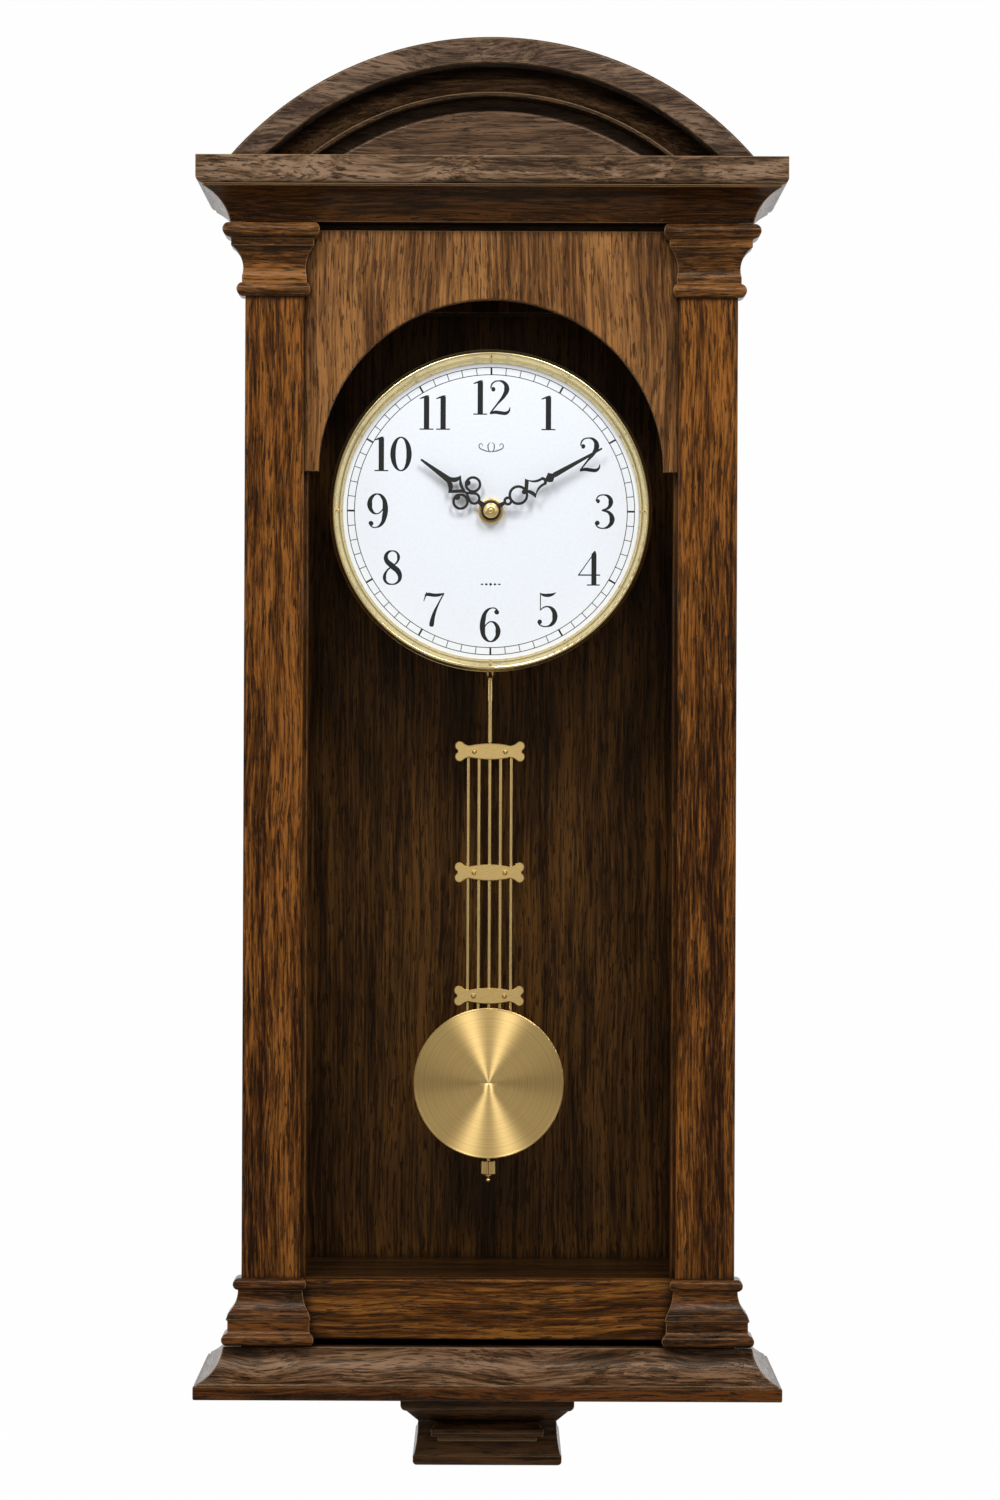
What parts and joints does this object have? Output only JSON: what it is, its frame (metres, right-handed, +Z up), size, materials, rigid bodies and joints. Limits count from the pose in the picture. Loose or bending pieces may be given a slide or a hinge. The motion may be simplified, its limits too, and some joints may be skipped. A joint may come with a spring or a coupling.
{
  "type": "pendulum wall clock",
  "caption": "Wooden pendulum wall clock: arched pediment on a cornice, pilasters either side of an open case, round white dial, pierced hands and a brass lyre pendulum.",
  "frame": {"origin": "centre of the round part of the hanger keyhole, on the wall plane", "axes": "+Z up, +X to the right as seen from the room, -Y towards the room, wall plane at Y = 0"},
  "size_m": [0.297, 0.13, 0.72],
  "materials": {
    "stained_oak": "dark walnut-stained oak, satin lacquer",
    "dark_interior_oak": "dark stained oak veneer, matt",
    "white_enamel": "white printed dial, satin",
    "polished_brass": "lacquered brass, polished",
    "spun_brass": "brass sheet, spun brushing round its centre",
    "blackened_steel": "blackened",
    "black_hand_lacquer": "black gloss lacquer",
    "black_movement_plastic": "moulded, fine spark texture",
    "white_wheel_plastic": "moulded acetal",
    "copper_winding": "enamelled winding wire",
    "plated_steel": "nickel plated",
    "battery_jacket": "printed steel jacket, plain",
    "green_laminate": "solder resist over laminate"
  },
  "bodies": {
    "case": {"arch_panel": "stained_oak", "back_panel": "dark_interior_oak", "base_board": "stained_oak", "base_front_cove": "stained_oak", "base_side_coves": "stained_oak", "battery": "battery_jacket", "battery_contacts": "plated_steel", "bezel_pins": "polished_brass", "capitals": "stained_oak", "case_floor_board": "dark_interior_oak", "case_top_board": "stained_oak", "circuit_board": "green_laminate", "cornice_board": "stained_oak", "cornice_front_cove": "stained_oak", "cornice_side_coves": "stained_oak", "dial_bezel": "polished_brass", "dial_plate": "white_enamel", "dial_posts": "dark_interior_oak", "front_stiles": "stained_oak", "hanger_plate": "plated_steel", "hanger_screws": "plated_steel", "leader_pivot_pin": "plated_steel", "lower_rail": "stained_oak", "motor_coil": "copper_winding", "motor_rotor": "plated_steel", "motor_stator": "plated_steel", "movement_front_shell": "black_movement_plastic", "movement_rear_cover": "black_movement_plastic", "movement_ring_nut": "polished_brass", "pediment_arch": "stained_oak", "pediment_cove": "stained_oak", "pendant_block": "stained_oak", "pendant_front_bead": "stained_oak", "pendulum_coil": "copper_winding", "pilaster_feet": "stained_oak", "pilasters": "stained_oak", "plinth_board": "stained_oak", "side_boards": "stained_oak", "top_rail": "stained_oak", "train_bridge": "black_movement_plastic", "tympanum_panel": "stained_oak"},
    "minute_train": {"centre_wheel": "white_wheel_plastic", "minute_hand": "black_hand_lacquer", "hand_nut": "polished_brass"},
    "hour_train": {"hour_wheel": "white_wheel_plastic", "hour_hand": "black_hand_lacquer"},
    "motion_gear": {"motion_wheel": "white_wheel_plastic"},
    "third_gear": {"third_wheel": "white_wheel_plastic"},
    "second_gear": {"second_wheel": "white_wheel_plastic"},
    "knob": {"setting_knob": "black_movement_plastic"},
    "pendulum": {"pendulum_leader": "black_movement_plastic", "leader_magnet": "plated_steel", "pendulum_hook": "polished_brass", "pendulum_rod": "polished_brass", "lyre_rods": "polished_brass", "lyre_plates": "polished_brass", "lyre_rivets": "polished_brass", "pendulum_bob": "spun_brass", "bob_weight": "blackened_steel"},
    "nut": {"rating_nut": "polished_brass"}
  },
  "joints": [
    {"name": "minute_hand_turn", "type": "hinge", "parent": "case", "child": "minute_train", "pos_m": [0, -0.085, -0.1258], "axis": [0, 1, 0], "continuous": true},
    {"name": "hour_hand_turn", "type": "hinge", "parent": "case", "child": "hour_train", "pos_m": [0, -0.085, -0.1258], "axis": [0, 1, 0], "continuous": true},
    {"name": "motion_wheel_turn", "type": "hinge", "parent": "case", "child": "motion_gear", "pos_m": [0.00643, -0.0795, -0.1312], "axis": [0, 1, 0], "continuous": true},
    {"name": "third_wheel_turn", "type": "hinge", "parent": "case", "child": "third_gear", "pos_m": [-0.01125, -0.076, -0.1258], "axis": [0, 1, 0], "continuous": true},
    {"name": "second_wheel_turn", "type": "hinge", "parent": "case", "child": "second_gear", "pos_m": [0, -0.0735, -0.1258], "axis": [0, 1, 0], "continuous": true},
    {"name": "setting_knob_turn", "type": "hinge", "parent": "case", "child": "knob", "pos_m": [0.01287, -0.065, -0.1366], "axis": [0, 1, 0], "continuous": true},
    {"name": "pendulum_swing", "type": "hinge", "parent": "case", "child": "pendulum", "pos_m": [0, -0.056, -0.146], "axis": [0, 1, 0], "range_deg": [-6, 6]},
    {"name": "rating_nut_turn", "type": "hinge", "parent": "pendulum", "child": "nut", "pos_m": [0, -0.055, -0.462], "axis": [0, 0, 1], "continuous": true}
  ],
  "couplings": [
    {"joint": "hour_hand_turn", "follows": "minute_hand_turn", "ratio": 0.083333},
    {"joint": "motion_wheel_turn", "follows": "minute_hand_turn", "ratio": -0.33333},
    {"joint": "third_wheel_turn", "follows": "minute_hand_turn", "ratio": -8},
    {"joint": "second_wheel_turn", "follows": "minute_hand_turn", "ratio": 60},
    {"joint": "setting_knob_turn", "follows": "minute_hand_turn", "ratio": 1}
  ]
}
